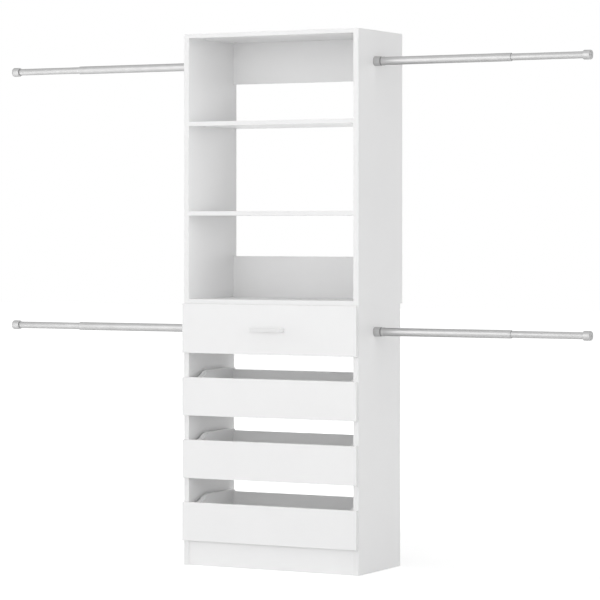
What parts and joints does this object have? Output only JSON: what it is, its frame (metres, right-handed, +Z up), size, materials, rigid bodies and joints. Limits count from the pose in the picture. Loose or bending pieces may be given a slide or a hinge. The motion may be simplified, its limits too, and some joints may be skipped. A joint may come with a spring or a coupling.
{
  "type": "closet system",
  "caption": "White closet tower with shelves over sliding drawers, and telescopic hanging rods that reach out from both sides to the closet walls.",
  "frame": {"origin": "on the floor, under the middle of the whole system's box: mid-width of the tower, and halfway between the handle's face and the back edge of the upper side boards", "axes": "+Z up, +X towards the right-hand rods seen from the front, +Y towards the closet's back wall"},
  "size_m": [2.45, 0.411, 2],
  "materials": {
    "white_melamine": "white melamine-faced board, satin",
    "white_hardboard": "white-faced thin board, satin",
    "white_handle": "white enamel, semi-gloss",
    "satin_metal": "satin anodised",
    "grey_socket": "fine satin",
    "zinc_steel": "zinc plated"
  },
  "bodies": {
    "carcass": {"cam_bolts": "zinc_steel", "cam_locks": "zinc_steel", "lower_bottom_panel": "white_melamine", "lower_side_left": "white_melamine", "lower_side_right": "white_melamine", "lower_top_panel": "white_melamine", "rear_plinth": "white_melamine", "rod_outer_tube_lower_left": "satin_metal", "rod_outer_tube_lower_right": "satin_metal", "rod_outer_tube_upper_left": "satin_metal", "rod_outer_tube_upper_right": "satin_metal", "rod_socket_screws": "zinc_steel", "rod_sockets": "grey_socket", "slide_cabinet_members": "zinc_steel", "toe_kick": "white_melamine", "unit_bolts": "zinc_steel", "upper_bottom_panel": "white_melamine", "upper_rail_bottom": "white_melamine", "upper_rail_top": "white_melamine", "upper_shelf_high": "white_melamine", "upper_shelf_low": "white_melamine", "upper_side_left": "white_melamine", "upper_side_right": "white_melamine", "upper_top_panel": "white_melamine"},
    "drawer_1": {"drawer_1_front": "white_melamine", "drawer_1_sides": "white_melamine", "drawer_1_back": "white_melamine", "drawer_1_bottom": "white_hardboard", "slide_1_drawer_members": "zinc_steel", "drawer_1_handle": "white_handle", "handle_screws": "zinc_steel"},
    "slide_1_middle": {"slide_1_middle_members": "zinc_steel"},
    "drawer_2": {"drawer_2_front": "white_melamine", "drawer_2_sides": "white_melamine", "drawer_2_back": "white_melamine", "drawer_2_bottom": "white_hardboard", "slide_2_drawer_members": "zinc_steel"},
    "slide_2_middle": {"slide_2_middle_members": "zinc_steel"},
    "drawer_3": {"drawer_3_front": "white_melamine", "drawer_3_sides": "white_melamine", "drawer_3_back": "white_melamine", "drawer_3_bottom": "white_hardboard", "slide_3_drawer_members": "zinc_steel"},
    "slide_3_middle": {"slide_3_middle_members": "zinc_steel"},
    "drawer_4": {"drawer_4_front": "white_melamine", "drawer_4_sides": "white_melamine", "drawer_4_back": "white_melamine", "drawer_4_bottom": "white_hardboard", "slide_4_drawer_members": "zinc_steel"},
    "slide_4_middle": {"slide_4_middle_members": "zinc_steel"},
    "rod_upper_left": {"rod_inner_tube_and_cup_upper_left": "satin_metal"},
    "rod_upper_right": {"rod_inner_tube_and_cup_upper_right": "satin_metal"},
    "rod_lower_left": {"rod_inner_tube_and_cup_lower_left": "satin_metal"},
    "rod_lower_right": {"rod_inner_tube_and_cup_lower_right": "satin_metal"}
  },
  "joints": [
    {"name": "drawer_1_slide", "type": "slide", "parent": "carcass", "child": "drawer_1", "axis": [0, -1, 0], "range_m": [0, 0.29]},
    {"name": "slide_1_middle_slide", "type": "slide", "parent": "carcass", "child": "slide_1_middle", "axis": [0, -1, 0], "range_m": [0, 0.145]},
    {"name": "drawer_2_slide", "type": "slide", "parent": "carcass", "child": "drawer_2", "axis": [0, -1, 0], "range_m": [0, 0.29]},
    {"name": "slide_2_middle_slide", "type": "slide", "parent": "carcass", "child": "slide_2_middle", "axis": [0, -1, 0], "range_m": [0, 0.145]},
    {"name": "drawer_3_slide", "type": "slide", "parent": "carcass", "child": "drawer_3", "axis": [0, -1, 0], "range_m": [0, 0.29]},
    {"name": "slide_3_middle_slide", "type": "slide", "parent": "carcass", "child": "slide_3_middle", "axis": [0, -1, 0], "range_m": [0, 0.145]},
    {"name": "drawer_4_slide", "type": "slide", "parent": "carcass", "child": "drawer_4", "axis": [0, -1, 0], "range_m": [0, 0.29]},
    {"name": "slide_4_middle_slide", "type": "slide", "parent": "carcass", "child": "slide_4_middle", "axis": [0, -1, 0], "range_m": [0, 0.145]},
    {"name": "rod_upper_left_slide", "type": "slide", "parent": "carcass", "child": "rod_upper_left", "axis": [-1, 0, 0], "range_m": [-0.27, 0.165]},
    {"name": "rod_upper_right_slide", "type": "slide", "parent": "carcass", "child": "rod_upper_right", "axis": [1, 0, 0], "range_m": [-0.27, 0.165]},
    {"name": "rod_lower_left_slide", "type": "slide", "parent": "carcass", "child": "rod_lower_left", "axis": [-1, 0, 0], "range_m": [-0.27, 0.165]},
    {"name": "rod_lower_right_slide", "type": "slide", "parent": "carcass", "child": "rod_lower_right", "axis": [1, 0, 0], "range_m": [-0.27, 0.165]}
  ],
  "couplings": [
    {"joint": "slide_1_middle_slide", "follows": "drawer_1_slide", "ratio": 0.5},
    {"joint": "slide_2_middle_slide", "follows": "drawer_2_slide", "ratio": 0.5},
    {"joint": "slide_3_middle_slide", "follows": "drawer_3_slide", "ratio": 0.5},
    {"joint": "slide_4_middle_slide", "follows": "drawer_4_slide", "ratio": 0.5}
  ]
}
